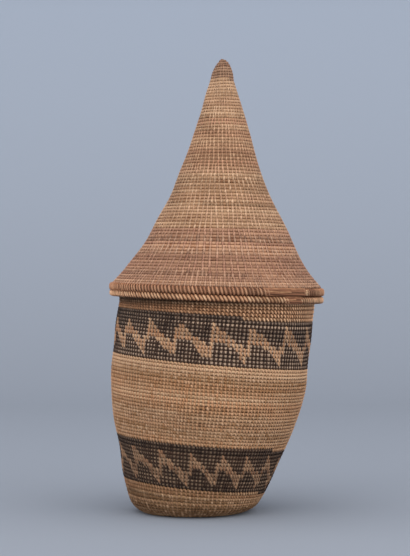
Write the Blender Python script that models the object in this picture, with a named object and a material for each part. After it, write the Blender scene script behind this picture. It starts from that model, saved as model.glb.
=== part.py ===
"""A tall coiled basket with a pointed lid that lifts off. Metres, +Z up, standing on Z = 0.

The basket and its lid are each one long coil of grass, sewn row on row. A stretch of coil that is sewn
with one colour of strand makes one ring of the wall, and the rings meet along a row that climbs by one
row height in each turn. The belly and the lid's reddish rows, the widest plain stretches, have each row
as a ridge. The basket has settled with age, so its rings lean and tilt on the way up.
The origin is on the floor, under the centre of the lid's rim. +X is the side to which the lid leans.
"""

import math

import bmesh
import bpy
from mathutils import Vector

# Fit between neighbouring pieces
GAP = 0.0003
ZIGZAG_SIDE_GAP = 0.00035
ZIGZAG_END_GAP = 0.0005
LID_CLEARANCE = 0.0011

# Coil and wall
ROW_PITCH = 0.0024
LID_ROW_PITCH = 0.00255
ROW_GROOVE = 0.0008
WALL = 0.0030
JOG_ANGLE = math.radians(1.5)
CHORD_ERROR = 0.0002
COIL_SIDES = 6

# Basket: heights of its stretches, from the floor up
HEEL_HEIGHT = 0.0065
FOOT_HEIGHT = 0.0205
LOWER_BAND_HEIGHT = 0.0313
BELLY_HEIGHT = 0.0574
UPPER_BAND_HEIGHT = 0.0332
NECK_HEIGHT = 0.0229
HEEL_EDGE = 0.0095

# Basket: outer radius at the ends of those stretches
FOOT_RADIUS = 0.0387
HEEL_RADIUS = 0.0462
LOWER_BAND_BOTTOM_RADIUS = 0.0515
LOWER_BAND_TOP_RADIUS = 0.0613
UPPER_BAND_RADIUS = 0.0706
BELLY_TAPER = 0.0018
NECK_TAPER = 0.0012
MOUTH_COIL_RADIUS = 0.0021

# Basket: how far each ring's centre stands from the origin along X
FOOT_LEAN = -0.0162
LOWER_BAND_BOTTOM_LEAN = -0.0152
LOWER_BAND_TOP_LEAN = -0.0111
BELLY_LEAN = -0.0072
UPPER_BAND_BOTTOM_LEAN = -0.0044
UPPER_BAND_TOP_LEAN = -0.0007

# Basket: how far each ring has tipped down on its +X side, in degrees
LOWER_BAND_BOTTOM_TILT = 5.6
LOWER_BAND_TOP_TILT = 5.2
BELLY_TILT = 4.9
UPPER_BAND_BOTTOM_TILT = 5.6
UPPER_BAND_TOP_TILT = 3.9

# Base: a flat coil, hollowed a little underneath, inside the flat ring that the basket stands on
BASE_THICKNESS = 0.0032
BASE_HOLLOW = 0.0015
HEEL_FLAT = 0.0045
START_COIL_RADIUS = 0.0050

# Lid: how far it leans to +X, in degrees
LID_TILT = 1.5

# Lid: rim of two thick coils, each a core of grass bound with a strip that is worn through in one place
LOWER_RIM_COIL_RADIUS = 0.0026
UPPER_RIM_COIL_RADIUS = 0.0028
UPPER_RIM_COIL_STEP = 0.0002
BINDING = 0.0007
LOWER_WORN_START = -50.0
LOWER_WORN_END = -41.0
UPPER_WORN_START = -62.0
UPPER_WORN_END = -38.0

# Lid: heights of its stretches, from the rim coils up
FLARE_HEIGHT = 0.0117
RUSSET_HEIGHT = 0.0285
LOWER_STRAW_HEIGHT = 0.0455
TAN_HEIGHT = 0.0250
UPPER_STRAW_HEIGHT = 0.0375
TIP_HEIGHT = 0.0157

# Lid: outline. Each stretch starts at this share of the way in from the flare's foot to the tip's radius.
FLARE_STEP_IN = 0.0016
RUSSET_SHARE = 0.1494
LOWER_STRAW_SHARE = 0.4035
TAN_SHARE = 0.7124
UPPER_STRAW_SHARE = 0.8252
TIP_RADIUS = 0.0082
TIP_FULLNESS = 1.8
TIP_BLUNTNESS = 0.68

# Lid: how far each ring's centre stands off the lid's axis along its X
LOWER_STRAW_LEAN = 0.0015
TAN_LEAN = 0.0008
UPPER_STRAW_LEAN = 0.0008
TIP_LEAN = 0.0003

# Zigzags of pale strand in the dark bands. The stroke and the steep sides are shares of one repeat along
# the row, and each edge's rise is a share of the band's height. The long slope of the upper edge sags, and
# that of the lower edge bulges, by a share of its rise.
# The repeats are spaced by eye on the real thing, so they drift a little to and fro on the way round.
UPPER_REPEATS = 17
UPPER_PEAK_ANGLE = -90.7
UPPER_DRIFT = 0.12
UPPER_DRIFT_ANGLE = 90.0
LOWER_REPEATS = 14
LOWER_PEAK_ANGLE = -95.7
LOWER_DRIFT = 0.25
LOWER_DRIFT_ANGLE = -143.0
ZIGZAG_TOP_MARGIN = 0.0045
ZIGZAG_BOTTOM_MARGIN = 0.0033
UPPER_RISE_SHARE = 0.49
LOWER_RISE_SHARE = 0.45
UPPER_STEEP_SHARE = 0.06
LOWER_STEEP_SHARE = 0.17
UPPER_SAG = 0.12
LOWER_BULGE = 0.18
STROKE_SHARE = 0.10
SLOPE_STEPS = 2

# Where the coil changes from one strand to the next: degrees round from +X, the camera side being -90
FOOT_JOG = 120.0
LOWER_BAND_BOTTOM_JOG = -28.0
LOWER_BAND_TOP_JOG = -34.0
UPPER_BAND_BOTTOM_JOG = 60.0
UPPER_BAND_TOP_JOG = -75.0
LID_JOGS = (150.0, 20.0, -140.0, 80.0)

# Strand and grass colours (linear), with roughness
STRAW = ((0.40, 0.25, 0.13), 0.75)
HONEY = ((0.30, 0.17, 0.08), 0.75)
DARK = ((0.030, 0.018, 0.012), 0.80)
PALE = ((0.33, 0.20, 0.11), 0.75)
RUSSET = ((0.33, 0.17, 0.10), 0.75)
TAN = ((0.36, 0.22, 0.12), 0.75)
BROWN = ((0.20, 0.11, 0.06), 0.80)
RIM_RED = ((0.31, 0.15, 0.08), 0.70)
RIM_PALE = ((0.40, 0.26, 0.14), 0.70)
GRASS = ((0.34, 0.20, 0.10), 0.85)


def smooth_curve(keys):
    """A smooth function through (height, value) keys that never swings past them."""
    xs = [x for x, _ in keys]
    ys = [y for _, y in keys]
    steps = [(ys[i + 1] - ys[i]) / (xs[i + 1] - xs[i]) for i in range(len(xs) - 1)]
    slopes = [steps[0]]
    for before, after in zip(steps, steps[1:]):
        same_way = before * after > 0
        slopes.append(2 * before * after / (before + after) if same_way else 0.0)
    slopes.append(steps[-1])

    def value(x):
        x = min(max(x, xs[0]), xs[-1])
        i = next(i for i in range(len(xs) - 1) if x <= xs[i + 1])
        width = xs[i + 1] - xs[i]
        t = (x - xs[i]) / width
        start, end = slopes[i] * width, slopes[i + 1] * width
        return (
            ys[i] * (1 + 2 * t) * (1 - t) ** 2
            + start * t * (1 - t) ** 2
            + ys[i + 1] * t * t * (3 - 2 * t)
            - end * t * t * (1 - t)
        )

    return value


# Sizes that follow from the fit of one piece in another
base_radius = FOOT_RADIUS - HEEL_FLAT
belly_radius = UPPER_BAND_RADIUS - BELLY_TAPER
mouth_radius = UPPER_BAND_RADIUS - NECK_TAPER
lower_rim_ring = UPPER_BAND_RADIUS + LID_CLEARANCE + LOWER_RIM_COIL_RADIUS
upper_rim_ring = lower_rim_ring + UPPER_RIM_COIL_STEP
flare_radius = upper_rim_ring + UPPER_RIM_COIL_RADIUS - FLARE_STEP_IN

# Lid profile, in heights above the bottom of its rim
rim_top = 2 * (LOWER_RIM_COIL_RADIUS + UPPER_RIM_COIL_RADIUS) + GAP
flare_bottom = rim_top + GAP
russet_bottom = flare_bottom + FLARE_HEIGHT
lower_straw_bottom = russet_bottom + RUSSET_HEIGHT
tan_bottom = lower_straw_bottom + LOWER_STRAW_HEIGHT
upper_straw_bottom = tan_bottom + TAN_HEIGHT
tip_bottom = upper_straw_bottom + UPPER_STRAW_HEIGHT
tip_top = tip_bottom + TIP_HEIGHT

cone_taper = smooth_curve(
    [
        (flare_bottom, 0.0),
        (russet_bottom, RUSSET_SHARE),
        (lower_straw_bottom, LOWER_STRAW_SHARE),
        (tan_bottom, TAN_SHARE),
        (upper_straw_bottom, UPPER_STRAW_SHARE),
        (tip_bottom, 1.0),
    ]
)
cone_lean = smooth_curve(
    [
        (russet_bottom, 0.0),
        (lower_straw_bottom, LOWER_STRAW_LEAN),
        (tan_bottom, TAN_LEAN),
        (upper_straw_bottom, UPPER_STRAW_LEAN),
        (tip_bottom, TIP_LEAN),
    ]
)


def cone_radius(height):
    return flare_radius + (TIP_RADIUS - flare_radius) * cone_taper(height)


def lid_radius(height):
    """Outer radius of the lid's wall, with a rounded nose above the cone."""
    if height <= tip_bottom:
        return cone_radius(height)
    share = min((height - tip_bottom) / TIP_HEIGHT, 1.0)
    return TIP_RADIUS * (1 - share**TIP_FULLNESS) ** TIP_BLUNTNESS


def cone_radius_inside(height, inset):
    """Radius of the lid's wall this far in from outside, along the slope's normal."""
    reach = 0.001
    slope = (cone_radius(height + reach) - cone_radius(height - reach)) / (2 * reach)
    return cone_radius(height) - inset * math.hypot(1, slope)


def lid_inner_radius(height):
    return cone_radius_inside(height, WALL)


def seat_height():
    """Height above the rim's bottom at which the mouth coil's centre meets the lid's inner slope."""
    low, high = flare_bottom, lower_straw_bottom
    centre = mouth_radius - MOUTH_COIL_RADIUS
    reach = 0.0005
    close_enough = 1e-7
    while high - low > close_enough:
        middle = (low + high) / 2
        slope = (lid_inner_radius(middle + reach) - lid_inner_radius(middle - reach)) / (2 * reach)
        room = (lid_inner_radius(middle) - centre) / math.hypot(1, slope)
        if room > MOUTH_COIL_RADIUS + GAP:
            low = middle
        else:
            high = middle
    return low


# Basket profile, in heights of ring centres above the floor
lower_bottom = FOOT_HEIGHT
lower_top = lower_bottom + LOWER_BAND_HEIGHT
belly_middle = lower_top + BELLY_HEIGHT / 2
upper_bottom = lower_top + BELLY_HEIGHT
upper_top = upper_bottom + UPPER_BAND_HEIGHT
mouth_top = upper_top + NECK_HEIGHT
mouth_coil_centre = mouth_top - MOUTH_COIL_RADIUS
neck_top = mouth_top - 2 * MOUTH_COIL_RADIUS - GAP

lid_slope = math.radians(LID_TILT)
lid_base = mouth_coil_centre - seat_height() * math.cos(lid_slope)

wall_radius = smooth_curve(
    [
        (0.0, FOOT_RADIUS),
        (HEEL_HEIGHT, HEEL_RADIUS),
        (lower_bottom, LOWER_BAND_BOTTOM_RADIUS),
        (lower_top, LOWER_BAND_TOP_RADIUS),
        (belly_middle, belly_radius),
        (upper_bottom, UPPER_BAND_RADIUS),
        (upper_top, UPPER_BAND_RADIUS),
        (mouth_top, mouth_radius),
    ]
)
wall_lean = smooth_curve(
    [
        (0.0, FOOT_LEAN),
        (lower_bottom, LOWER_BAND_BOTTOM_LEAN),
        (lower_top, LOWER_BAND_TOP_LEAN),
        (belly_middle, BELLY_LEAN),
        (upper_bottom, UPPER_BAND_BOTTOM_LEAN),
        (upper_top, UPPER_BAND_TOP_LEAN),
        (mouth_top, (mouth_top - lid_base) * math.tan(lid_slope)),
    ]
)
wall_tilt = smooth_curve(
    [
        (0.0, 0.0),
        (lower_bottom, LOWER_BAND_BOTTOM_TILT),
        (lower_top, LOWER_BAND_TOP_TILT),
        (belly_middle, BELLY_TILT),
        (upper_bottom, UPPER_BAND_BOTTOM_TILT),
        (upper_top, UPPER_BAND_TOP_TILT),
        ((upper_top + mouth_top) / 2, LID_TILT),
        (mouth_top, LID_TILT),
    ]
)


def basket_point(height, inset, angle):
    """A point of the basket's wall, on the ring centred at this height, this far in from outside."""
    across = (wall_radius(height) - inset) * math.cos(angle)
    tilt = math.radians(wall_tilt(height))
    return Vector(
        (
            wall_lean(height) + across * math.cos(tilt),
            (wall_radius(height) - inset) * math.sin(angle),
            height - across * math.sin(tilt),
        )
    )


def around(radius, height, angle):
    return Vector((radius * math.cos(angle), radius * math.sin(angle), height))


def lid_point(height, inset, angle):
    """A point of the lid's wall at this height above its rim, this far in from outside."""
    return around(cone_radius_inside(height, inset), height, angle) + Vector((cone_lean(height), 0, 0))


def turn_share(angle, start):
    """How much of a turn lies between the start angle and this one."""
    return ((angle - start) / (2 * math.pi)) % 1.0


class Edge:
    """The edge between two stretches of coil. It climbs by one row in a turn and steps back at its jog."""

    def __init__(self, height, jog_degrees):
        self.height = height
        self.jog = math.radians(jog_degrees)

    def columns(self):
        return [self.jog, self.jog + JOG_ANGLE]

    def at(self, angle):
        ramp = JOG_ANGLE / (2 * math.pi)
        share = turn_share(angle, self.jog)
        # The columns lie on the ramp's ends, so a share just under 1 is its start
        rounding = 1e-9
        if share > 1 - rounding:
            share = 0.0
        climbed = 1 - share / ramp if share < ramp else (share - ramp) / (1 - ramp)
        return self.height + ROW_PITCH * (climbed - 0.5)


class LevelEdge:
    """An edge that stays at one height, where the coil is feathered off."""

    def __init__(self, height):
        self.height = height

    def columns(self):
        return []

    def at(self, angle):
        return self.height


class Rows:
    """The rows of a stretch of coil between two edges that climb: where one row meets the next."""

    def __init__(self, lower, upper, pitch, radius_at):
        self.lower = lower
        self.upper = upper
        rise = upper.height - lower.height
        slope_length = math.hypot(rise, radius_at(upper.height) - radius_at(lower.height))
        part_turn = turn_share(upper.jog, lower.jog)
        self.turns = round(slope_length / pitch - part_turn) + part_turn
        self.row_rise = rise / self.turns
        # A column crosses one row more than the whole turns, and its count starts one row low
        self.most = math.ceil(self.turns) + 1

    def seam(self, turn):
        """Height of the seam under the row that has come this many turns from the lower edge's jog."""
        return self.lower.height + self.row_rise * (turn - 0.5)


class ZigzagEdge:
    """One edge of a zigzag: a steep rise, then a long slope down along the row, once in each repeat."""

    def __init__(self, band, low, high, along, steep, sag):
        self.band = band
        self.low = low
        self.high = high
        self.along = along
        self.steep = steep
        self.sag = sag

    def columns(self):
        slope = 1 - self.steep
        shares = [self.along + slope * step / SLOPE_STEPS for step in range(SLOPE_STEPS + 1)]
        turned = [
            self.band.angle_of(repeat + share)
            for repeat in range(self.band.repeats)
            for share in shares
        ]
        return self.band.bottom.columns() + turned

    def at(self, angle):
        share = (self.band.repeat_of(angle) - self.along) % 1.0
        rounding = 1e-7
        if share > 1 - rounding:
            share = 0.0
        slope = 1 - self.steep
        if share <= slope:
            done = share / slope
            drop = done + 4 * self.sag * done * (1 - done)
        else:
            drop = (1 - share) / self.steep
        return self.band.bottom.at(angle) + self.high - (self.high - self.low) * drop


class DarkBand:
    """A dark stretch with its zigzag: where its repeats lie, and the four edges of the pale strand."""

    def __init__(self, bottom, top, repeats, peak_degrees, drift, drift_degrees):
        self.bottom = bottom
        self.top = top
        self.repeats = repeats
        self.peak = math.radians(peak_degrees)
        self.drift = drift
        self.drift_start = math.radians(drift_degrees)
        height = top.height - bottom.height
        low, high = ZIGZAG_BOTTOM_MARGIN, height - ZIGZAG_TOP_MARGIN
        repeat_length = 2 * math.pi * wall_radius(bottom.height) / repeats
        side = ZIGZAG_SIDE_GAP / repeat_length
        end = ZIGZAG_END_GAP

        def upper_edge(lift, along):
            fallen = high - UPPER_RISE_SHARE * height
            return ZigzagEdge(self, fallen + lift, high + lift, along, UPPER_STEEP_SHARE, UPPER_SAG)

        def lower_edge(lift, along):
            risen = low + LOWER_RISE_SHARE * height
            start = STROKE_SHARE + along
            return ZigzagEdge(self, low + lift, risen + lift, start, LOWER_STEEP_SHARE, -LOWER_BULGE)

        self.pale_upper = upper_edge(0.0, 0.0)
        self.pale_lower = lower_edge(0.0, 0.0)
        self.dark_upper = upper_edge(end, -side)
        self.dark_lower = lower_edge(-end, side)

    def angle_of(self, repeat):
        even = 2 * math.pi * repeat / self.repeats
        sway = math.sin(even - self.drift_start) + math.sin(self.drift_start)
        return self.peak + even + self.drift * sway

    def repeat_of(self, angle):
        """The inverse of angle_of, found by halving."""
        spare_repeats = 2.0
        low, high = -spare_repeats, self.repeats + spare_repeats
        angle = self.peak + (angle - self.peak) % (2 * math.pi)
        close_enough = 1e-10
        while high - low > close_enough:
            middle = (low + high) / 2
            if self.angle_of(middle) < angle:
                low = middle
            else:
                high = middle
        return low


def even_columns(count):
    return [2 * math.pi * step / count for step in range(count)]


def round_columns(radius):
    """Enough columns that the flats of a ring this wide stay close to the true circle."""
    return even_columns(math.ceil(math.pi / math.acos(1 - CHORD_ERROR / radius)))


def sorted_columns(start, *groups):
    """All column angles in order round one turn from the start angle, without near repeats."""
    nearest = 1e-4
    turned = sorted((angle - start) % (2 * math.pi) for group in groups for angle in group)
    kept = []
    for angle in turned:
        if not kept or angle - kept[-1] > nearest:
            kept.append(angle)
    if kept[0] + 2 * math.pi - kept[-1] < nearest:
        kept.pop()
    return [start + angle for angle in kept]


def strand_material(name, look):
    colour, roughness = look
    material = bpy.data.materials.new(name)
    material.use_nodes = True
    shader = material.node_tree.nodes["Principled BSDF"]
    shader.inputs["Base Color"].default_value = (*colour, 1.0)
    shader.inputs["Roughness"].default_value = roughness
    shader.inputs["Metallic"].default_value = 0.0
    return material


def add_object(name, mesh_builder, look, parent, origin=Vector((0, 0, 0))):
    """Names the mesh, gives it its own material, and hangs it on its parent with its origin where asked."""
    bmesh.ops.recalc_face_normals(mesh_builder, faces=mesh_builder.faces)
    mesh = bpy.data.meshes.new(name)
    mesh_builder.to_mesh(mesh)
    mesh_builder.free()
    crease = math.radians(40)
    mesh.shade_smooth()
    mesh.set_sharp_from_angle(angle=crease)
    mesh.materials.append(strand_material(name, look))
    piece = bpy.data.objects.new(name, mesh)
    piece.location = origin
    piece.parent = parent
    bpy.context.scene.collection.objects.link(piece)
    return piece


def add_loops(builder, loops):
    return [[builder.verts.new(point) for point in loop] for loop in loops]


def skin(builder, loops):
    """Faces from each closed loop of vertices to the next."""
    for loop, after in zip(loops, loops[1:]):
        for i in range(len(loop)):
            j = (i + 1) % len(loop)
            builder.faces.new((loop[i], loop[j], after[j], after[i]))


def join_loops(builder, loops):
    """Skins neighbouring closed loops of points, and the last one back to the first."""
    rows = add_loops(builder, loops)
    skin(builder, rows + rows[:1])


def wall_loops(wall, lower, upper, inset, shares, angles, origin):
    """Loops of points round a wall, at these shares of the way from its lower edge to its upper one."""
    half_gap = GAP / 2
    loops = []
    for share in shares:
        points = []
        for angle in angles:
            low, high = lower.at(angle) + half_gap, upper.at(angle) - half_gap
            points.append(wall(low + (high - low) * share, inset, angle) - origin)
        loops.append(points)
    return loops


def wall_ring(name, wall, lower, upper, steps, columns, look, parent, origin):
    """A plain ring of wall between two edges, with this many faces in its height."""
    angles = sorted_columns(0.0, columns, lower.columns(), upper.columns())
    shares = [step / steps for step in range(steps + 1)]
    loops = wall_loops(wall, lower, upper, 0.0, shares, angles, origin)
    loops += wall_loops(wall, lower, upper, WALL, shares[::-1], angles, origin)
    builder = bmesh.new()
    join_loops(builder, loops)
    return add_object(name, builder, look, parent, origin)


class Column:
    """The vertices up one column of a coiled wall: its seams, and between them the crests of its rows."""

    def __init__(self, builder, wall, rows, angle, turn, origin):
        half_gap = GAP / 2
        low = rows.lower.at(angle) + half_gap
        high = rows.upper.at(angle) - half_gap

        def vertex(height, inset):
            return builder.verts.new(wall(height, inset, angle) - origin)

        self.low, self.high = vertex(low, ROW_GROOVE), vertex(high, ROW_GROOVE)
        # A seam as close to an edge as this share of a row is that edge
        merged = 0.33
        near = rows.row_rise * merged
        heights, self.seams = [], []
        for row in range(rows.most + 1):
            seam = rows.seam(turn + row)
            if seam < low + near:
                heights.append(low)
                self.seams.append(self.low)
            elif seam > high - near:
                heights.append(high)
                self.seams.append(self.high)
            else:
                heights.append(seam)
                self.seams.append(vertex(seam, ROW_GROOVE))
        self.crests = []
        for row, (below, above) in enumerate(zip(heights, heights[1:])):
            self.crests.append(vertex((below + above) / 2, 0.0) if above > below else self.seams[row])

    def row(self, number):
        return self.seams[number], self.crests[number], self.seams[number + 1]


def coiled_ring(name, wall, rows, columns, look, parent, origin):
    """A ring of wall, plain inside. Outside are its coil's rows, which climb by one row in each turn."""
    inner_steps = 4
    lower, upper = rows.lower, rows.upper
    angles = sorted_columns(lower.jog, columns, lower.columns(), upper.columns())
    builder = bmesh.new()
    upright = [
        Column(builder, wall, rows, angle, turn_share(angle, lower.jog), origin) for angle in angles
    ]

    def face(*corners):
        distinct = list(dict.fromkeys(corners))
        if len(distinct) > 2:
            builder.faces.new(distinct)

    for i, column in enumerate(upright):
        # The last column meets the first one a row further up
        last = i == len(upright) - 1
        beside, climbed = (upright[0], 1) if last else (upright[i + 1], 0)
        for number in range(len(column.crests) - climbed):
            seam, crest, above = column.row(number)
            next_seam, next_crest, next_above = beside.row(number + climbed)
            face(seam, next_seam, next_crest, crest)
            face(crest, next_crest, next_above, above)

    shares = [step / inner_steps for step in range(inner_steps + 1)]
    inside = add_loops(builder, wall_loops(wall, lower, upper, WALL, shares, angles, origin))
    skin(builder, [[column.low for column in upright]] + inside + [[column.high for column in upright]])
    return add_object(name, builder, look, parent, origin)


def turned_ring(name, profile, look, parent, origin):
    """A ring turned about its parent's Z axis from a closed profile of (radius, height) points."""
    builder = bmesh.new()
    angles = round_columns(max(radius for radius, _ in profile))
    loops = [
        [around(radius, height, angle) for angle in angles]
        for radius, height in profile
    ]
    join_loops(builder, loops)
    return add_object(name, builder, look, parent, origin)


def turned_cap(name, profile, look, parent, origin):
    """A solid turned about Z from a profile that starts and ends on the axis."""
    builder = bmesh.new()
    angles = round_columns(max(radius for radius, _ in profile))
    bottom = builder.verts.new((0, 0, profile[0][1]))
    top = builder.verts.new((0, 0, profile[-1][1]))
    rows = [
        [builder.verts.new(around(radius, height, angle)) for angle in angles]
        for radius, height in profile[1:-1]
    ]
    for i in range(len(angles)):
        j = (i + 1) % len(angles)
        for row, after in zip(rows, rows[1:]):
            builder.faces.new((row[i], row[j], after[j], after[i]))
        builder.faces.new((bottom, rows[0][j], rows[0][i]))
        builder.faces.new((top, rows[-1][i], rows[-1][j]))
    return add_object(name, builder, look, parent, origin)


def make_base(basket):
    """The flat coil under the basket: its start, the disc, and the heel that turns up into the wall."""
    centre = Vector((FOOT_LEAN, 0, 0))

    def underside(radius):
        return BASE_HOLLOW * (1 - (radius / base_radius) ** 2)

    start = START_COIL_RADIUS
    profile = [(0, underside(0)), (start, underside(start))]
    profile += [(start, underside(start) + BASE_THICKNESS), (0, underside(0) + BASE_THICKNESS)]
    turned_cap("base_start_coil", profile, HONEY, basket, centre)

    inner = START_COIL_RADIUS + GAP
    disc_rows = 2
    radii = [inner + (base_radius - inner) * step / disc_rows for step in range(disc_rows + 1)]
    profile = [(radius, underside(radius)) for radius in radii]
    profile += [(radius, underside(radius) + BASE_THICKNESS) for radius in reversed(radii)]
    turned_ring("base_disc", profile, HONEY, basket, centre)

    heel_start = base_radius + GAP
    edge = Edge(HEEL_EDGE, FOOT_JOG)
    angles = sorted_columns(0.0, round_columns(HEEL_RADIUS), edge.columns())

    def flat_loop(radius, height):
        return [around(radius, height, angle) for angle in angles]

    def wall_loop(inset, floor, share):
        points = []
        for angle in angles:
            high = edge.at(angle) - GAP / 2
            points.append(basket_point(floor + (high - floor) * share, inset, angle) - centre)
        return points

    heel_rows = 3
    shares = [step / heel_rows for step in range(heel_rows + 1)]
    loops = [flat_loop(heel_start, 0.0)]
    loops += [wall_loop(0.0, 0.0, share) for share in shares]
    loops += [wall_loop(WALL, BASE_THICKNESS, share) for share in reversed(shares)]
    loops += [flat_loop(heel_start, BASE_THICKNESS)]
    builder = bmesh.new()
    join_loops(builder, loops)
    add_object("base_heel", builder, HONEY, basket, centre)
    return edge


def ring_centre(height):
    return Vector((wall_lean(height), 0, height))


def make_dark_band(name, band, basket):
    """A dark band in three pieces: under the zigzag, the pale zigzag itself, and over it."""
    origin = ring_centre(band.bottom.height)
    for part, lower, upper, look in (
        ("dark_lower", band.bottom, band.dark_lower, DARK),
        ("zigzag", band.pale_lower, band.pale_upper, PALE),
        ("dark_upper", band.dark_upper, band.top, DARK),
    ):
        wall_ring(f"{name}_{part}", basket_point, lower, upper, 1, [], look, basket, origin)


def make_plain_band(name, lower, upper, look, basket):
    columns = round_columns(wall_radius(upper.height))
    wall_ring(name, basket_point, lower, upper, 1, columns, look, basket, ring_centre(lower.height))


def make_belly(lower, upper, basket):
    rows = Rows(lower, upper, ROW_PITCH, wall_radius)
    columns = round_columns(wall_radius(upper.height))
    coiled_ring("belly_band", basket_point, rows, columns, STRAW, basket, ring_centre(lower.height))


def make_basket():
    basket = bpy.data.objects.new("basket", None)
    bpy.context.scene.collection.objects.link(basket)
    heel_edge = make_base(basket)
    lower_start = Edge(lower_bottom, LOWER_BAND_BOTTOM_JOG)
    lower_end = Edge(lower_top, LOWER_BAND_TOP_JOG)
    upper_start = Edge(upper_bottom, UPPER_BAND_BOTTOM_JOG)
    upper_end = Edge(upper_top, UPPER_BAND_TOP_JOG)

    make_plain_band("foot_band", heel_edge, lower_start, HONEY, basket)
    lower_band = DarkBand(
        lower_start, lower_end, LOWER_REPEATS, LOWER_PEAK_ANGLE, LOWER_DRIFT, LOWER_DRIFT_ANGLE
    )
    make_dark_band("lower_band", lower_band, basket)
    make_belly(lower_end, upper_start, basket)
    upper_band = DarkBand(
        upper_start, upper_end, UPPER_REPEATS, UPPER_PEAK_ANGLE, UPPER_DRIFT, UPPER_DRIFT_ANGLE
    )
    make_dark_band("upper_band", upper_band, basket)
    make_plain_band("neck_band", upper_end, LevelEdge(neck_top), HONEY, basket)
    make_mouth_coil(basket)


def make_mouth_coil(basket):
    """The thicker last coil of the basket, square to the lid's axis. The lid's inner slope sits on it."""
    centre = ring_centre(mouth_coil_centre)
    ring_radius = mouth_radius - MOUTH_COIL_RADIUS
    profile = []
    for corner in even_columns(COIL_SIDES):
        radius = ring_radius + MOUTH_COIL_RADIUS * math.cos(corner)
        profile.append((radius, MOUTH_COIL_RADIUS * math.sin(corner)))
    coil = turned_ring("mouth_coil", profile, HONEY, basket, centre)
    coil.rotation_euler = (0, lid_slope, 0)


def make_rim_coil(name, lid, height, ring_radius, coil_radius, worn, looks):
    """A rim coil: a core of grass all the way round, and a binding that is worn through on one stretch."""
    core_look, binding_look = looks
    core_radius = coil_radius - BINDING - GAP
    corners = even_columns(COIL_SIDES)
    core = [
        (ring_radius + core_radius * math.cos(corner), core_radius * math.sin(corner))
        for corner in corners
    ]
    origin = Vector((0, 0, height))
    turned_ring(f"{name}_core", core, core_look, lid, origin)

    start, end = (math.radians(angle) for angle in worn)
    bound = 2 * math.pi - (end - start)
    builder = bmesh.new()
    for across in (coil_radius, coil_radius - BINDING):
        for corner in corners:
            radius = ring_radius + across * math.cos(corner)
            builder.verts.new(around(radius, across * math.sin(corner), end))
    builder.verts.ensure_lookup_table()
    for i in range(COIL_SIDES):
        j = (i + 1) % COIL_SIDES
        outer = (builder.verts[i], builder.verts[j])
        inner = (builder.verts[COIL_SIDES + j], builder.verts[COIL_SIDES + i])
        builder.faces.new(outer + inner)
    bmesh.ops.spin(
        builder,
        geom=builder.verts[:] + builder.edges[:] + builder.faces[:],
        cent=(0, 0, 0),
        axis=(0, 0, 1),
        angle=bound,
        steps=round(len(round_columns(ring_radius)) * bound / (2 * math.pi)),
    )
    add_object(f"{name}_binding", builder, binding_look, lid, origin)


def make_lid():
    lid = bpy.data.objects.new("lid", None)
    lid.location = (0, 0, lid_base)
    lid.rotation_euler = (0, lid_slope, 0)
    bpy.context.scene.collection.objects.link(lid)

    lower_centre = LOWER_RIM_COIL_RADIUS
    upper_centre = 2 * LOWER_RIM_COIL_RADIUS + GAP + UPPER_RIM_COIL_RADIUS
    make_rim_coil(
        "lid_rim_lower", lid, lower_centre, lower_rim_ring, LOWER_RIM_COIL_RADIUS,
        (LOWER_WORN_START, LOWER_WORN_END), (GRASS, RIM_PALE),
    )
    make_rim_coil(
        "lid_rim_upper", lid, upper_centre, upper_rim_ring, UPPER_RIM_COIL_RADIUS,
        (UPPER_WORN_START, UPPER_WORN_END), (GRASS, RIM_RED),
    )

    heights = (russet_bottom, lower_straw_bottom, tan_bottom, upper_straw_bottom)
    russet, lower_straw, tan, upper_straw = (Edge(height, jog) for height, jog in zip(heights, LID_JOGS))
    stretches = (
        ("lid_flare_band", LevelEdge(flare_bottom), russet, 2, RUSSET),
        ("lid_lower_straw_band", lower_straw, tan, 3, STRAW),
        ("lid_tan_band", tan, upper_straw, 2, TAN),
        ("lid_upper_straw_band", upper_straw, LevelEdge(tip_bottom), 2, STRAW),
    )
    for name, lower, upper, steps, look in stretches:
        columns = round_columns(cone_radius(lower.height))
        origin = Vector((0, 0, lower.height))
        wall_ring(name, lid_point, lower, upper, steps, columns, look, lid, origin)

    rows = Rows(russet, lower_straw, LID_ROW_PITCH, cone_radius)
    columns = round_columns(cone_radius(russet_bottom))
    origin = Vector((0, 0, russet_bottom))
    coiled_ring("lid_russet_band", lid_point, rows, columns, RUSSET, lid, origin)

    nose_rows = 6
    bottom = tip_bottom + GAP
    rises = [math.sin(math.pi / 2 * step / nose_rows) for step in range(nose_rows)]
    heights = [bottom + (tip_top - bottom) * rise for rise in rises]
    profile = [(0, 0)] + [(lid_radius(height), height - bottom) for height in heights]
    profile.append((0, tip_top - bottom))
    turned_cap("lid_tip", profile, BROWN, lid, Vector((TIP_LEAN, 0, bottom)))


for leftover in list(bpy.data.objects):
    bpy.data.objects.remove(leftover)

make_basket()
make_lid()
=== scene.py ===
import math
from collections import namedtuple

import bpy
import numpy as np
from mathutils import Matrix, Vector
from mathutils.bvhtree import BVHTree


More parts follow.
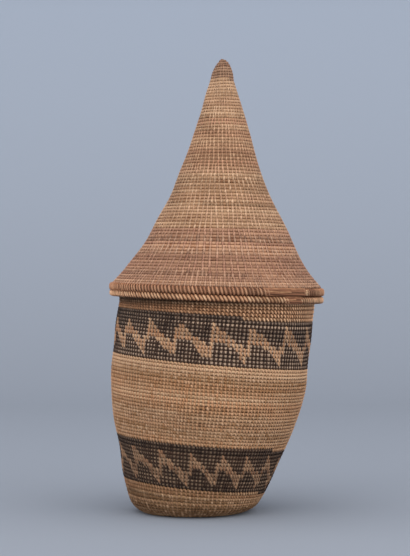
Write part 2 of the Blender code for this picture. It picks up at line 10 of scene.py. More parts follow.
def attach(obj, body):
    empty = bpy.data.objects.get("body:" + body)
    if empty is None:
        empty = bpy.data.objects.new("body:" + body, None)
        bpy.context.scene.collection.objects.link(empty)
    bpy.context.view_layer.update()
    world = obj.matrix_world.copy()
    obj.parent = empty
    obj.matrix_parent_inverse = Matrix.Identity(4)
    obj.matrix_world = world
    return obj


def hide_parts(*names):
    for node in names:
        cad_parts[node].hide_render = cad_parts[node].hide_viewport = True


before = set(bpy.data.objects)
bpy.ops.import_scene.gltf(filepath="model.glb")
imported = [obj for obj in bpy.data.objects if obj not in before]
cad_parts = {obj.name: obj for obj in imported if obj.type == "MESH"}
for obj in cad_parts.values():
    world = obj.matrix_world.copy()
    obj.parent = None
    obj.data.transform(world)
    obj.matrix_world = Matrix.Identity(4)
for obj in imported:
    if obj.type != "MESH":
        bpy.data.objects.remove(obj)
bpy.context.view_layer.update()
fullTurn = 2 * math.pi
print("frame loaded:", len(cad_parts), "nodes")


# The two walls that the coils follow
basketShape = {
    # ring height above the floor: value, in metres and degrees
    "radius": {
        0: 0.0362, 0.0022: 0.0409, 0.0065: 0.0459, 0.0205: 0.0515, 0.0518: 0.0613,
        0.0805: 0.0688, 0.1092: 0.0706, 0.1424: 0.0706, 0.1505: 0.0709, 0.1653: 0.0694,
    },
    "lean": {
        0: -0.0171, 0.0022: -0.0169, 0.0065: -0.0163, 0.0205: -0.0152, 0.0518: -0.0111,
        0.0805: -0.0072, 0.1092: -0.0044, 0.1424: -0.0005, 0.1505: 0.0004, 0.1653: 0.0004,
    },
    "tilt": {
        0: 0, 0.0205: 5.6, 0.0518: 5.2, 0.0805: 4.9, 0.1092: 5.6, 0.1424: 3.9, 0.15385: 1.5, 0.1653: 1.5,
    },
    "baseRadius": 0.0342, "baseHollow": 0.0015, "top": 0.1608,
    "firstRow": (0.0012, 0.5),  # how far out the coil starts, and at which turn
    "dent": 0.00022, "seeds": (11, 31, 41),  # of dents, batches and the painted shade of open seams
}

lidShape = {
    # height above the rim's underside: value
    "radius": {
        0.0114: 0.0757, 0.0231: 0.06562, 0.0516: 0.04847, 0.0971: 0.02761, 0.1221: 0.02, 0.1596: 0.0082,
    },
    "lean": {0.0231: 0, 0.0516: 0.0015, 0.0971: 0.0008, 0.1221: 0.0008, 0.1596: 0.0003},
    "tilt": 1.5,
    "floor": 0.15134,  # where the rim's underside stands
    "noseTop": 0.1753, "noseFullness": 1.8, "noseBluntness": 0.68,
    "firstRow": (0.0, 0.0),
    "dent": 0.00028, "seeds": (12, 32, 42),
}


def smoothCurve(keys):  # through the keys, and never past them
    xs = np.array(list(keys), float)
    ys = np.array(list(keys.values()), float)
    steps = np.diff(ys) / np.diff(xs)
    before, after = steps[:-1], steps[1:]
    sameWay = before * after > 0
    total = np.where(sameWay, before + after, 1)
    slopes = np.concatenate([steps[:1], np.where(sameWay, 2 * before * after / total, 0), steps[-1:]])

    def value(x):
        x = np.clip(x, xs[0], xs[-1])
        i = np.clip(np.searchsorted(xs, x) - 1, 0, len(xs) - 2)
        width = xs[i + 1] - xs[i]
        t = (x - xs[i]) / width
        return (
            ys[i] * (1 + 2 * t) * (1 - t) ** 2
            + slopes[i] * width * t * (1 - t) ** 2
            + ys[i + 1] * t * t * (3 - 2 * t)
            - slopes[i + 1] * width * t * t * (1 - t)
        )

    return value


def unit(vectors):
    return vectors / np.linalg.norm(vectors, axis=-1, keepdims=True)


def basketPlacer():
    lean = smoothCurve(basketShape["lean"])
    tilt = smoothCurve(basketShape["tilt"])

    def place(radius, height, ring, angle):
        across = radius * np.cos(angle)
        tipped = np.radians(tilt(ring))
        x = lean(ring) + across * np.cos(tipped)
        return np.stack([x, radius * np.sin(angle), height - across * np.sin(tipped)], -1)

    return place


def lidPlacer():
    lean = smoothCurve(lidShape["lean"])
    tilt = math.radians(lidShape["tilt"])
    cosine, sine = math.cos(tilt), math.sin(tilt)

    def place(radius, height, ring, angle):
        x = lean(ring) + radius * np.cos(angle)
        turnedX = x * cosine + height * sine
        turnedZ = height * cosine - x * sine + lidShape["floor"]
        return np.stack([turnedX, radius * np.sin(angle), turnedZ], -1)

    return place


outlinePoints = {"wall": 800, "end": 120}


def basketOutline():  # outer radius, height and ring height, from the middle of the base up the wall
    wall = smoothCurve(basketShape["radius"])
    flat = np.linspace(0, wall(0.0), outlinePoints["end"])
    under = basketShape["baseHollow"] * np.clip(1 - (flat / basketShape["baseRadius"]) ** 2, 0, 1)
    heights = np.linspace(0, basketShape["top"], outlinePoints["wall"])[1:]
    radius = np.concatenate([flat, wall(heights)])
    return radius, np.concatenate([under, heights]), np.concatenate([flat * 0, heights])


def lidOutline():  # the same for the lid, from the top of the rim to the point
    cone = smoothCurve(lidShape["radius"])
    foot, shoulder = min(lidShape["radius"]), max(lidShape["radius"])
    heights = np.linspace(foot, shoulder, outlinePoints["wall"])
    share = np.sin(np.linspace(0, math.pi / 2, outlinePoints["end"])[1:])
    fullness = np.clip(1 - share ** lidShape["noseFullness"], 0, 1) ** lidShape["noseBluntness"]
    height = np.concatenate([heights, shoulder + (lidShape["noseTop"] - shoulder) * share])
    return np.concatenate([cone(heights), cone(shoulder) * fullness]), height, height


batchHabits = {
    # all in turns of the coil: a colour lasts about this long, then drifts on
    "turns": 90, "step": 0.4, "keep": 0.80, "drift": 0.34,
    "lightSpans": 90, "spanLength": (0.1, 0.9), "spanLift": (-0.35, 1.3), "spanEdge": 0.02,
}


def batches(seed, strength):
    # Grass and strands come in batches: the colour drifts from row to row, and some spans are lighter
    random = np.random.default_rng(seed)
    habits = batchHabits
    keys = np.arange(0, habits["turns"], habits["step"])
    drift = [0.0]
    for change in random.normal(0, habits["drift"], len(keys) - 1):
        drift.append(drift[-1] * habits["keep"] + change)
    limits = [(0, habits["turns"]), habits["spanLength"], habits["spanLift"]]
    starts, lengths, lifts = (random.uniform(*pair, habits["lightSpans"]) for pair in limits)

    def value(turns):
        total = np.interp(turns, keys, drift)
        for start, length, lift in zip(starts, lengths, lifts):
            begins = np.clip((turns - start) / habits["spanEdge"], 0, 1)
            ends = np.clip((start + length - turns) / habits["spanEdge"], 0, 1)
            total = total + lift * begins * ends
        return total * strength

    return value


coilHabits = {
    "thickness": 0.0030,
    "batch": 0.6,
    "sample": 0.0002, "easing": 17,  # how finely the outline is taken, and over how many samples it bends
    "dents": 9, "evenTo": 0.06,  # shallow dents all over, but fewer near the coil's first end
    "dentsRound": (2, 5), "dentPace": (25, 160),  # the least, and how many more, round the wall and up it
    "sways": 6, "sway": 0.00005, "swayPace": (2.3, 3.7),  # how far and how often the seams wander
    "middle": 0.0001,  # how near the outline comes to its axis
    "step": 0.0004, "stepAngle": 0.01,  # over which a row's directions are taken
    "fullHeight": 0.0008, "least": 0.2,  # a row lower than twice this is thinner too
    "closed": (0.45, 0.5, 0.8),  # how much painted seam shade is left off where seams count as closed: the mean, the spread and the most
}

Row = namedtuple("Row", "centre along up out height depth")


class Coil:
    # One long grass coil laid row on row over a wall. Its turns count counter-clockwise up the wall.
    def __init__(self, outline, place, shape):
        radius, height = outline[:2]
        arc = np.concatenate([[0], np.cumsum(np.hypot(np.diff(radius), np.diff(height)))])
        self.arc = np.arange(0, arc[-1], coilHabits["sample"])
        radius, height, self.ring = (np.interp(self.arc, arc, values) for values in outline)
        soft = np.hanning(coilHabits["easing"])[1:-1]
        padded = [np.pad(values, len(soft) // 2, mode="edge") for values in (radius, height)]
        easyR, easyH = (np.convolve(values, soft / soft.sum(), "valid") for values in padded)
        intoR, intoH = -np.gradient(easyH), np.gradient(easyR)  # inwards, square to the outline
        length = np.hypot(intoR, intoH)
        self.half = coilHabits["thickness"] / 2
        self.radius = np.maximum(easyR + intoR / length * self.half, 0)
        self.height = easyH + intoH / length * self.half
        self.place = place
        dentSeed, batchSeed, openSeed = shape["seeds"]
        random = np.random.default_rng(dentSeed)
        (few, more), (slow, quicker) = coilHabits["dentsRound"], coilHabits["dentPace"]
        self.waves = [  # how many round the wall, where they start, their pace up it, and their depth
            (few + round(more * a), fullTurn * b, slow + quicker * c, shape["dent"] / (1 + 2 * a))
            for a, b, c in random.uniform(size=(coilHabits["dents"], 3))
        ]
        self.sway = random.uniform(0, fullTurn, coilHabits["sways"])
        self.batch = batches(batchSeed, coilHabits["batch"])
        self.looseness = batches(openSeed, 1.0)

    def closed(self, turns):
        middle, spread, most = coilHabits["closed"]
        return np.clip(middle - spread * self.looseness(turns), 0, most)

    def dents(self, arc, angle):
        total = 0
        for count, start, pace, depth in self.waves:
            total = total + depth * np.cos(count * angle + pace * arc + start)
        return total * np.clip(arc / coilHabits["evenTo"], 0, 1)

    def at(self, arc, angle):
        radius, height, ring = (
            np.interp(arc, self.arc, values) for values in (self.radius, self.height, self.ring)
        )
        radius = np.maximum(radius + self.dents(arc, angle), coilHabits["middle"])
        return self.place(radius, height, ring, angle)

    def seam(self, turn):  # the lower edge of the row at this turn
        arc = np.interp(turn - 0.5, self.turnKeys, self.arcKeys)
        slow, quicker = coilHabits["swayPace"]
        for i, start in enumerate(self.sway):
            arc = arc + coilHabits["sway"] * np.sin(turn * (slow + quicker * i) + start)
        return np.clip(arc, self.arcKeys[0], self.arcKeys[-1])

    def frames(self, turn):  # centre, directions, half height and half depth of the row at each turn
        angle = fullTurn * turn
        low, high = self.seam(turn), self.seam(turn + 1)
        below, above = self.at(low, angle), self.at(high, angle)
        middle, step, turned = (low + high) / 2, coilHabits["step"], coilHabits["stepAngle"]
        up = unit(self.at(middle + step, angle) - self.at(middle - step, angle))
        along = unit(self.at(middle, angle + turned) - self.at(middle, angle - turned))
        out = unit(np.cross(along, up))
        height = np.linalg.norm(above - below, axis=-1) / 2
        depth = self.half * np.clip(height / coilHabits["fullHeight"], coilHabits["least"], 1)
        return Row((below + above) / 2, along, np.cross(out, along), out, height, depth)

    def radiusAt(self, turn):
        return np.interp(np.interp(turn, self.turnKeys, self.arcKeys), self.arc, self.radius)


basketRows = {
    # stretch: ring height of its top edge, the angle at which its strand changes, and the row's width
    "base": (0.0095, 120, 0.00240),
    "foot": (0.0205, -28, 0.00250),
    "lower_band": (0.0518, -34, 0.00270),
    "belly": (0.1092, 60, 0.00240),
    "upper_band": (0.1424, -75, 0.00263),
    "neck": (0.1608, 0, 0.00236),
}

lidRows = {
    "lid_flare": (0.0231, 150, 0.00250),
    "lid_russet": (0.0516, 20, 0.00262),
    "lid_lower_straw": (0.0971, -140, 0.00256),
    "lid_tan": (0.1221, 80, 0.00250),
    "lid_upper_straw": (0.1596, -60, 0.00243),
    "lid_nose": (0.1752, 0, 0.00235),
}


def layRows(coil, rows, firstArc, firstTurn):
    # Whole turns are fitted between the places where the strand changes
    turns, arcs, spans = [firstTurn], [firstArc], {}
    for name, (ring, angle, width) in rows.items():
        arc = float(np.interp(ring, coil.ring, coil.arc))
        share = angle / 360
        turn = round(turns[-1] + (arc - arcs[-1]) / width - share) + share
        spans[name] = (turns[-1], turn)
        turns.append(turn)
        arcs.append(arc)
    coil.turnKeys, coil.arcKeys = np.array(turns), np.array(arcs)
    print("rows:", {name: round(end - start, 2) for name, (start, end) in spans.items()})
    return spans


basketCoil = Coil(basketOutline(), basketPlacer(), basketShape)
lidCoil = Coil(lidOutline(), lidPlacer(), lidShape)
coils = {"basket": basketCoil, "lid": lidCoil}
basketSpans = layRows(basketCoil, basketRows, *basketShape["firstRow"])
lidSpans = layRows(lidCoil, lidRows, *lidShape["firstRow"])


class Nodes:  # the nodes of one shader or Geometry Nodes tree
    def node(self, kind, settings=None, values=None):
        made = self.tree.nodes.new(kind)
        for name, value in (settings or {}).items():
            setattr(made, name, value)
        for name, value in (values or {}).items():
            self.feed(made.inputs[name], value)
        return made

    def made(self, kind, settings=None, values=None, output=0):
        return Sum(self, self.node(kind, settings, values).outputs[output])

    def feed(self, socket, value):
        if isinstance(value, Sum):
            self.tree.links.new(value.socket, socket)
        else:
            socket.default_value = value


class Sum:  # a node's output that takes part in sums
    def __init__(self, nodes, socket):
        self.nodes, self.socket = nodes, socket

    def joined(self, operation, *values):
        return self.nodes.made("ShaderNodeMath", {"operation": operation}, dict(enumerate(values)))

    def __add__(self, other):
        return self.joined("ADD", self, other)

    def __sub__(self, other):
        return self.joined("SUBTRACT", self, other)

    def __rsub__(self, other):
        return self.joined("SUBTRACT", other, self)

    def __mul__(self, other):
        return self.joined("MULTIPLY", self, other)

    def __pow__(self, other):
        return self.joined("POWER", self, other)

    def size(self):
        return self.joined("ABSOLUTE", self)

    def cut(self):  # held between 0 and 1
        return self.joined("MINIMUM", self.joined("MAXIMUM", self, 0.0), 1.0)

    def spread(self, gain, start):
        return self * gain + start

    __radd__ = __add__
    __rmul__ = __mul__


seamShadeTint = (0.86, 0.58, 0.38, 1.0)  # painted shade: deep in a seam the colour is multiplied towards this redder brown
rimShadow = {"finish": "light", "from": 0.1493, "to": 0.1522, "shade": 0.55}  # painted shadow under the lid's rim, on the neck's finish


class Finish(Nodes):
    def __init__(self, name, roughness):
        self.material = bpy.data.materials.new(name)
        self.material.use_nodes = True
        self.tree = self.material.node_tree
        self.tree.nodes.clear()
        self.shader = self.node("ShaderNodeBsdfPrincipled", values={"Roughness": roughness})
        self.node("ShaderNodeOutputMaterial", values={"Surface": Sum(self, self.shader.outputs[0])})

    def attribute(self, name):
        return self.made("ShaderNodeAttribute", {"attribute_name": name}, output="Fac")

    def place(self):
        return self.made("ShaderNodeTexCoord", output="Object")

    def height(self):
        return self.made("ShaderNodeSeparateXYZ", values={0: self.place()}, output=2)

    def noise(self, vector, scale, detail):
        return self.made("ShaderNodeTexNoise", values={"Vector": vector, "Scale": scale, "Detail": detail})

    def grain(self, paces, scale, detail):  # a noise that runs at its own pace along each attribute
        runs = [self.attribute(name) * pace for name, pace in paces.items()]
        return self.noise(self.made("ShaderNodeCombineXYZ", values=dict(enumerate(runs))), scale, detail)

    def mixed(self, share, first, second, how="MIX"):
        settings = {"data_type": "RGBA", "blend_type": how, "clamp_factor": True}
        return self.made("ShaderNodeMix", settings, {0: share, 6: first, 7: second}, 2)

    # painted shadow: darkens the neck's finish in a band just under the lid's rim
    def rimShadowed(self, name, light):
        if name != rimShadow["finish"]:
            return light
        shadowShare = ((self.height() - rimShadow["from"]) * (1 / (rimShadow["to"] - rimShadow["from"]))).cut()
        return light * (1 - shadowShare * rimShadow["shade"])

    def done(self, colour, light, gloss, relief, strength, distance):
        bump = {"Height": relief, "Strength": strength, "Distance": distance}
        lit = self.made("ShaderNodeVectorMath", {"operation": "SCALE"}, {0: colour, "Scale": light})
        self.feed(self.shader.inputs["Base Color"], lit)
        self.feed(self.shader.inputs["Specular IOR Level"], gloss)
        self.feed(self.shader.inputs["Normal"], self.made("ShaderNodeBump", values=bump))
        return self.material


def shade(red, green, blue):  # a screen colour as the shader takes it
    return tuple(round(((c / 255 + 0.055) / 1.055) ** 2.4, 4) for c in (red, green, blue)) + (1.0,)


strandLooks = {
    # finish: dull end and bright end of its strands, a redder cast, roughness, how dark the painted shade in
    # the seams is
    "straw": ((136, 106, 80), (190, 157, 127), (174, 131, 104), 0.62, 0.62),
    "gold": ((146, 106, 70), (194, 158, 126), (184, 134, 96), 0.62, 0.46),
    "honey": ((110, 79, 50), (184, 150, 118), (152, 109, 76), 0.62, 0.42),
    "light": ((138, 102, 73), (226, 186, 148), (202, 146, 106), 0.62, 0.46),
    "russet": ((116, 85, 67), (174, 138, 113), (156, 108, 86), 0.62, 0.58),
    "tan": ((140, 106, 80), (186, 150, 119), (174, 126, 99), 0.62, 0.62),
    "pale": ((136, 102, 74), (192, 155, 121), (172, 123, 88), 0.62, 0.60),
    # painted shade: a darker copy of pale, for the lower band's zigzag
    "faded": ((102, 74, 54), (158, 126, 98), (146, 98, 68), 0.62, 0.60),
    "brown": ((110, 80, 60), (164, 130, 105), (138, 98, 76), 0.66, 0.60),
    "dark": ((32, 19, 11), (68, 49, 37), (62, 39, 25), 0.60, 0.60),
    "rimPale": ((148, 112, 82), (222, 186, 150), (196, 142, 106), 0.55, 0.74),
    "rimRed": ((126, 90, 67), (198, 155, 121), (166, 114, 84), 0.55, 0.74),
    "knot": ((140, 104, 76), (194, 160, 126), (180, 130, 96), 0.60, 0.60),
}

strandGrain = {
    # noises are scale and detail, and shares are gain and start
    "paces": {"across": 3.0, "length": 2.0, "own": 60.0},
    "fibre": (2.5, 2.0), "stain": (22.0, 3.0),
    "tone": (0.5, 0.5), "warmth": (0.5, 0.25), "fibreShade": (0.6, 0.78), "stainShade": (0.5, 0.75),
    # painted shade: edge darkens a strand's two edges by this power and share, and the next share tints its
    # buried ends
    "edge": (3.0, 0.30), "seamShadeTint": 0.8,
    "gloss": 0.25, "relief": (0.5, 0.0003),
}


def strandFinish(name):
    dull, bright, warm, roughness, seamShade = strandLooks[name]
    grain = strandGrain
    finish = Finish(f"{name}_strand", roughness)
    tone = finish.attribute("tone").spread(*grain["tone"]).cut()
    warmth = finish.attribute("warmth").spread(*grain["warmth"]).cut()
    colour = finish.mixed(warmth, finish.mixed(tone, shade(*dull), shade(*bright)), shade(*warm))
    fibre = finish.grain(grain["paces"], *grain["fibre"])
    stain = finish.noise(finish.place(), *grain["stain"])
    # painted shade: a strand is darkened and tinted where its lift is low in a seam
    buried = 1 - finish.attribute("lift")
    power, edgeShade = grain["edge"]
    edge = finish.attribute("across").size() ** power
    light = fibre.spread(*grain["fibreShade"]) * stain.spread(*grain["stainShade"])
    light = light * (1 - buried * (1 - seamShade)) * (1 - edge * edgeShade)
    colour = finish.mixed((buried * grain["seamShadeTint"]).cut(), colour, seamShadeTint, "MULTIPLY")
    return finish.done(colour, finish.rimShadowed(name, light), grain["gloss"], fibre, *grain["relief"])


grassLooks = {
    # finish: dull and bright blades, how dark the painted shade of an open seam is, and how unevenly the
    # seams stand open
    "straw": ((134, 97, 68), (178, 142, 110), 0.46, 0.8),
    "gold": ((124, 84, 48), (198, 162, 126), 0.24, 0.7),
    "honey": ((102, 69, 40), (162, 126, 90), 0.22, 0.7),
    "light": ((102, 69, 45), (172, 130, 94), 0.28, 0.5),
    "dark": ((104, 84, 69), (190, 162, 138), 0.10, 0.0),
    # painted shade: a darker copy of dark, for the lower band
    "dim": ((82, 64, 50), (148, 122, 98), 0.10, 0.0),
    "russet": ((104, 69, 51), (174, 132, 103), 0.44, 0.8),
    "tan": ((124, 86, 60), (174, 136, 104), 0.44, 0.8),
    "brown": ((92, 68, 51), (142, 110, 87), 0.34, 0.5),
    "rim": ((84, 54, 36), (132, 92, 63), 0.50, 0.3),
    "bare": ((130, 86, 60), (196, 150, 110), 0.40, 0.0),
}

grassGrain = {
    "paces": {"length": 150.0, "around": 5.0},
    "blades": (1.0, 3.0), "stain": (30.0, 3.0), "filling": (110.0, 2.0),
    "bladeShade": (1.4, -0.25), "tone": 0.55, "stainShade": (0.6, 0.7), "filled": (2.4, -1.2),
    "openTint": 1.0, "shutTint": 0.4,  # how far the painted seam shade tints the seams, open or shut
    "roughness": 0.75, "gloss": 0.3, "relief": (0.6, 0.0004),
}


def grassFinish(name):
    dull, bright, seamShade, openness = grassLooks[name]
    grain = grassGrain
    finish = Finish(f"{name}_grass", grain["roughness"])
    blades = finish.grain(grain["paces"], *grain["blades"])
    stain = finish.noise(finish.place(), *grain["stain"])
    filled = finish.noise(finish.place(), *grain["filling"]).spread(*grain["filled"])
    # painted shade: darkened and tinted towards the seams, less where they count as closed or the filling
    # noise covers them
    crest = (finish.attribute("lift") + finish.attribute("closed") + filled * openness).cut()
    brightness = blades.spread(*grain["bladeShade"]) + finish.attribute("tone") * grain["tone"]
    colour = finish.mixed(brightness.cut(), shade(*dull), shade(*bright))
    light = stain.spread(*grain["stainShade"]) * (crest * (1 - seamShade) + seamShade)
    tinted = (1 - crest) * grain["openTint" if openness else "shutTint"]
    colour = finish.mixed(tinted, colour, seamShadeTint, "MULTIPLY")
    return finish.done(colour, finish.rimShadowed(name, light), grain["gloss"], blades, *grain["relief"])


strandFinishes = {name: strandFinish(name) for name in strandLooks}
grassFinishes = {name: grassFinish(name) for name in grassLooks}
print("finishes:", len(strandFinishes) + len(grassFinishes))


def addObject(name, data):
    made = bpy.data.objects.new(name, data)
    bpy.context.scene.collection.objects.link(made)
    return made


def addPiece(mesh, body, nodes):
    piece = addObject(mesh.name, mesh)
    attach(piece, body)
    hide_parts(*nodes)


def plainMesh(name, points, faces=()):
    mesh = bpy.data.meshes.new(name)
    mesh.from_pydata(points, [], faces)
    return mesh


def setValues(mesh, name, values, kind="FLOAT"):
    mesh.attributes.new(name, kind, "POINT").data.foreach_set("value", np.ravel(values))


def bakeMap(mesh, corners):
    mesh.uv_layers.new(name="OFBake").uv.foreach_set("vector", np.ravel(corners))


def cellCorners(left, low, width, height):  # in the order of a strand's or a tube's four-sided faces
    right, high = left + width, low + height
    return np.stack([left, low, left, high, right, high, right, low], -1)


def ringAngles(sides):
    return np.arange(sides) * fullTurn / sides


def squared(theta, power):  # what turns a circle into a rounded square
    return (np.abs(np.cos(theta)) ** power + np.abs(np.sin(theta)) ** power) ** (-1 / power)


def ringPoints(centre, sideways, outwards, theta, swell=1):
    # A ring of points round each centre. sideways and outwards are its half axes.
    swell = np.broadcast_to(swell, (*centre.shape[:-1], len(theta)))[..., None]
    return (
        centre[..., None, :]
        + sideways[..., None, :] * np.cos(theta)[:, None] * swell
        + outwards[..., None, :] * np.sin(theta)[:, None] * swell
    )


cellShare = 0.96  # of its place on the map, so that neighbours don't touch


def tubeMesh(name, points, values, finish, perRow=None, closed=False):
    # Skins tubes of rings, given as (tubes, rings, sides, 3). perRow rings share a row of the map.
    tubes, rings, sides = points.shape[:3]
    spans = rings if closed else rings - 1
    perRow = perRow or spans
    tube, i, k = np.meshgrid(np.arange(tubes), np.arange(spans), np.arange(sides), indexing="ij")
    here, ahead = (tube * rings + i) * sides, (tube * rings + (i + 1) % rings) * sides
    beside = (k + 1) % sides
    faces = np.stack([here + k, here + beside, ahead + beside, ahead + k], -1).reshape(-1, 4).tolist()
    if not closed:
        for first in range(0, tubes * rings * sides, rings * sides):
            last = first + (rings - 1) * sides
            faces.append(list(range(first, first + sides))[::-1])
            faces.append(list(range(last, last + sides)))
    mesh = plainMesh(name, points.reshape(-1, 3).tolist(), faces)
    for key, numbers in values.items():
        setValues(mesh, key, np.broadcast_to(numbers, (tubes, rings, sides)))
    rows = math.ceil(spans / perRow)
    low = (tube * rows + i // perRow + k / sides * cellShare) / (rows * tubes)
    height = cellShare / sides / (rows * tubes)
    corners = cellCorners((i % perRow) / perRow, low, 1 / perRow, height).reshape(-1, 2)
    bakeMap(mesh, np.concatenate([corners, np.zeros((len(mesh.loops) - len(corners), 2))]))
    mesh.shade_smooth()
    mesh.materials.append(finish)
    return mesh


coreShape = {
    "perTurn": 108, "sides": 12, "depth": 0.84, "squareness": {"basket": 2.7, "lid": 4.4},
    "crest": (4, 2.5),  # how narrow its painted light crest is between the painted shade of its seams, and how much less so where the seams are closed
}


def addCore(name, body, span, look, nodes, closing=1):
    # The grass of one stretch of the coil
    coil = coils[body]
    turn = np.linspace(*span, round((span[1] - span[0]) * coreShape["perTurn"]) + 1)
    row = coil.frames(turn)
    theta = ringAngles(coreShape["sides"])
    narrow, wider = coreShape["crest"]
    points = ringPoints(
        row.centre, row.up * row.height[:, None], row.out * (row.depth * coreShape["depth"])[:, None],
        theta, squared(theta, coreShape["squareness"][body]),
    )
    values = {
        "around": theta,
        "length": (turn * fullTurn * coil.radiusAt(turn))[:, None],
        # painted shade: lift falls from the row's outer face towards its seams
        "lift": np.abs(np.sin(theta)) ** (narrow - wider * closing),
        "tone": coil.batch(turn)[:, None],
        "closed": coil.closed(turn)[:, None] * closing,
    }
    addPiece(tubeMesh(name, points[None], values, grassFinishes[look], coreShape["perTurn"]), body, nodes)


budShape = {
    "radius": 0.0020, "half": 0.0012, "rings": 9, "sides": 18, "samples": 24, "pole": 0.06, "lift": 0.8,
}


def addBud(name, first, look, nodes):
    # The coil's first end is bent in on itself: a small knob fills the middle of the first turn
    middle = basketCoil.frames(np.linspace(first, first + 1, budShape["samples"])).centre.mean(0)
    rise = np.linspace(budShape["pole"] - 1, 1 - budShape["pole"], budShape["rings"]) * fullTurn / 4
    centre = middle + np.array([0, 0, budShape["half"]]) * np.sin(rise)[:, None]
    radius = budShape["radius"] * np.cos(rise)[:, None]
    theta = ringAngles(budShape["sides"])
    points = ringPoints(centre, radius * np.array([1.0, 0, 0]), radius * np.array([0, 1.0, 0]), theta)
    values = {"around": theta, "length": centre[:, 2:], "lift": budShape["lift"], "tone": 0, "closed": 0}
    addPiece(tubeMesh(name, points[None], values, grassFinishes[look]), "basket", nodes)


sideLift = 0.75  # painted shade: the strand's two lower edges are this much as light as its crest


def loopTemplate(name, path, widths, heights, edge):
    # A closed strand round a coil: a crest line and two lower edges. path is (up, out) shares of the coil.
    path = np.array(path, float)
    ahead = np.roll(path, -1, 0) - np.roll(path, 1, 0)
    inwards = unit(np.stack([-ahead[:, 1], ahead[:, 0]], -1))
    inwards *= np.sign(-(inwards * path).sum(1))[:, None]
    points, lifts = [], []
    for (up, out), (edgeUp, edgeOut), width, lift in zip(path, path + inwards * edge, widths, heights):
        points += [(-width / 2, edgeUp, edgeOut), (0, up, out), (width / 2, edgeUp, edgeOut)]
        lifts += [lift * sideLift, lift, lift * sideLift]
    count = len(path)
    faces = []
    for i in range(count):
        here, after = 3 * i, 3 * ((i + 1) % count)
        faces += [(here + k, after + k, after + (k + 1) % 3, here + (k + 1) % 3) for k in range(3)]
    mesh = plainMesh(name, points, faces)
    setValues(mesh, "lift", lifts)
    setValues(mesh, "across", [-1, 0, 1] * count)
    setValues(mesh, "length", np.repeat(np.arange(count) / count, 3))
    return addObject(name, mesh)


stitchEdge = 0.20

stitchShapes = {
    # from the top down: up and out as shares of the row's half height and half depth, and the strand's
    # width and lift there; a low lift is painted shade where the strand dives into a seam
    "plain": [
        (1.0, 0.60, 0.76, 0.3), (0.58, 0.92, 0.98, 0.85), (0.0, 1.02, 1.04, 1.0),
        (-0.78, 0.98, 1.02, 0.9), (-1.45, 0.76, 0.84, 0.5),
    ],
    "dark": [
        (1.0, 0.62, 0.76, 0.4), (0.55, 0.92, 0.98, 0.9), (0.0, 1.02, 1.04, 1.0),
        (-0.9, 1.0, 1.02, 0.95), (-1.60, 0.82, 0.86, 0.75),
    ],
    "lid": [
        (1.02, 0.62, 0.78, 0.42), (0.60, 0.93, 0.98, 0.88), (0.0, 1.02, 1.04, 1.0),
        (-0.85, 0.99, 1.03, 0.92), (-1.50, 0.78, 0.88, 0.60),
    ],
}
stitchUneven = {"basket": (0.16, 0.10), "lid": (0.34, 0.20)}  # how far width and lean differ

stitches = {}
for kind, front in stitchShapes.items():
    back = [(up, -out, width, lift) for up, out, width, lift in reversed(front)]
    ups, outs, widths, lifts = zip(*front, *back)
    stitches[kind] = loopTemplate(f"{kind}_stitch", [*zip(ups, outs)], widths, lifts, stitchEdge)

wrapShape = {"steps": 16, "squareness": 3.2, "narrowing": 0.30, "edge": 0.15}


def wrapTemplate():
    angles = ringAngles(wrapShape["steps"])
    path = np.stack([np.cos(angles), np.sin(angles)], -1)
    # painted shade: a wrap is lit on its outer face and darker where it turns in between the coils
    facing = path[:, 1] ** 2
    widths = 1 - wrapShape["narrowing"] * (1 - facing)
    path *= squared(angles, wrapShape["squareness"])[:, None]
    return loopTemplate("wrap", path, widths, facing, wrapShape["edge"])


class Tree(Nodes):  # a Geometry Nodes tree with named inputs
    def __init__(self, name, inputs):
        self.tree = bpy.data.node_groups.new(name, "GeometryNodeTree")
        face = self.tree.interface
        face.new_socket("Geometry", in_out="OUTPUT", socket_type="NodeSocketGeometry")
        self.sockets = {
            label: face.new_socket(label, in_out="INPUT", socket_type=f"NodeSocket{kind}").identifier
            for label, kind in {"Geometry": "Geometry", **inputs}.items()
        }
        given = self.node("NodeGroupInput").outputs
        self.given = {label: Sum(self, given[label]) for label in self.sockets}

    def named(self, name, kind="FLOAT"):
        return self.made("GeometryNodeInputNamedAttribute", {"data_type": kind}, {"Name": name})

    def uneven(self, middle, spread, seed):  # for each stitch a number within spread of the middle
        values = {2: middle - spread, 3: middle + spread, "Seed": seed}
        return self.made("FunctionNodeRandomValue", {"data_type": "FLOAT"}, values, 1)


def sewingTree():
    tree = Tree("sewing", {
        "Strand": "Object", "Width Spread": "Float", "Lean": "Float", "Lean Spread": "Float",
        "Seed": "Int", "Finish": "Material",
    })
    given = tree.given
    size = tree.made("ShaderNodeCombineXYZ", values={
        "X": tree.named("width") * tree.uneven(1.0, given["Width Spread"], given["Seed"]),
        "Y": tree.named("rowHeight"), "Z": tree.named("rowDepth"),
    })
    nextSeed = tree.made("FunctionNodeIntegerMath", {"operation": "ADD"}, {0: given["Seed"], 1: 1})
    lean = tree.uneven(given["Lean"], given["Lean Spread"], nextSeed)
    turned = tree.made("FunctionNodeAxisAngleToRotation", values={"Axis": (0, 0, 1), "Angle": lean})
    rotation = tree.made("FunctionNodeRotateRotation", {"rotation_space": "LOCAL"},
                         {"Rotation": tree.named("lay", "QUATERNION"), "Rotate By": turned})
    strand = tree.made("GeometryNodeObjectInfo", values={"Object": given["Strand"]}, output="Geometry")
    placed = tree.made("GeometryNodeInstanceOnPoints", values={
        "Points": given["Geometry"], "Instance": strand, "Rotation": rotation, "Scale": size,
    })
    real = tree.made("GeometryNodeRealizeInstances", values={"Geometry": placed})
    smooth = tree.made("GeometryNodeSetShadeSmooth", values={"Geometry": real})
    worn = tree.made("GeometryNodeSetMaterial", values={"Geometry": smooth, "Material": given["Finish"]})
    tree.node("NodeGroupOutput", values={"Geometry": worn})
    return tree


sewing = sewingTree()
wrap = wrapTemplate()
print("sewing tree ready:", len(sewing.tree.nodes), "nodes")


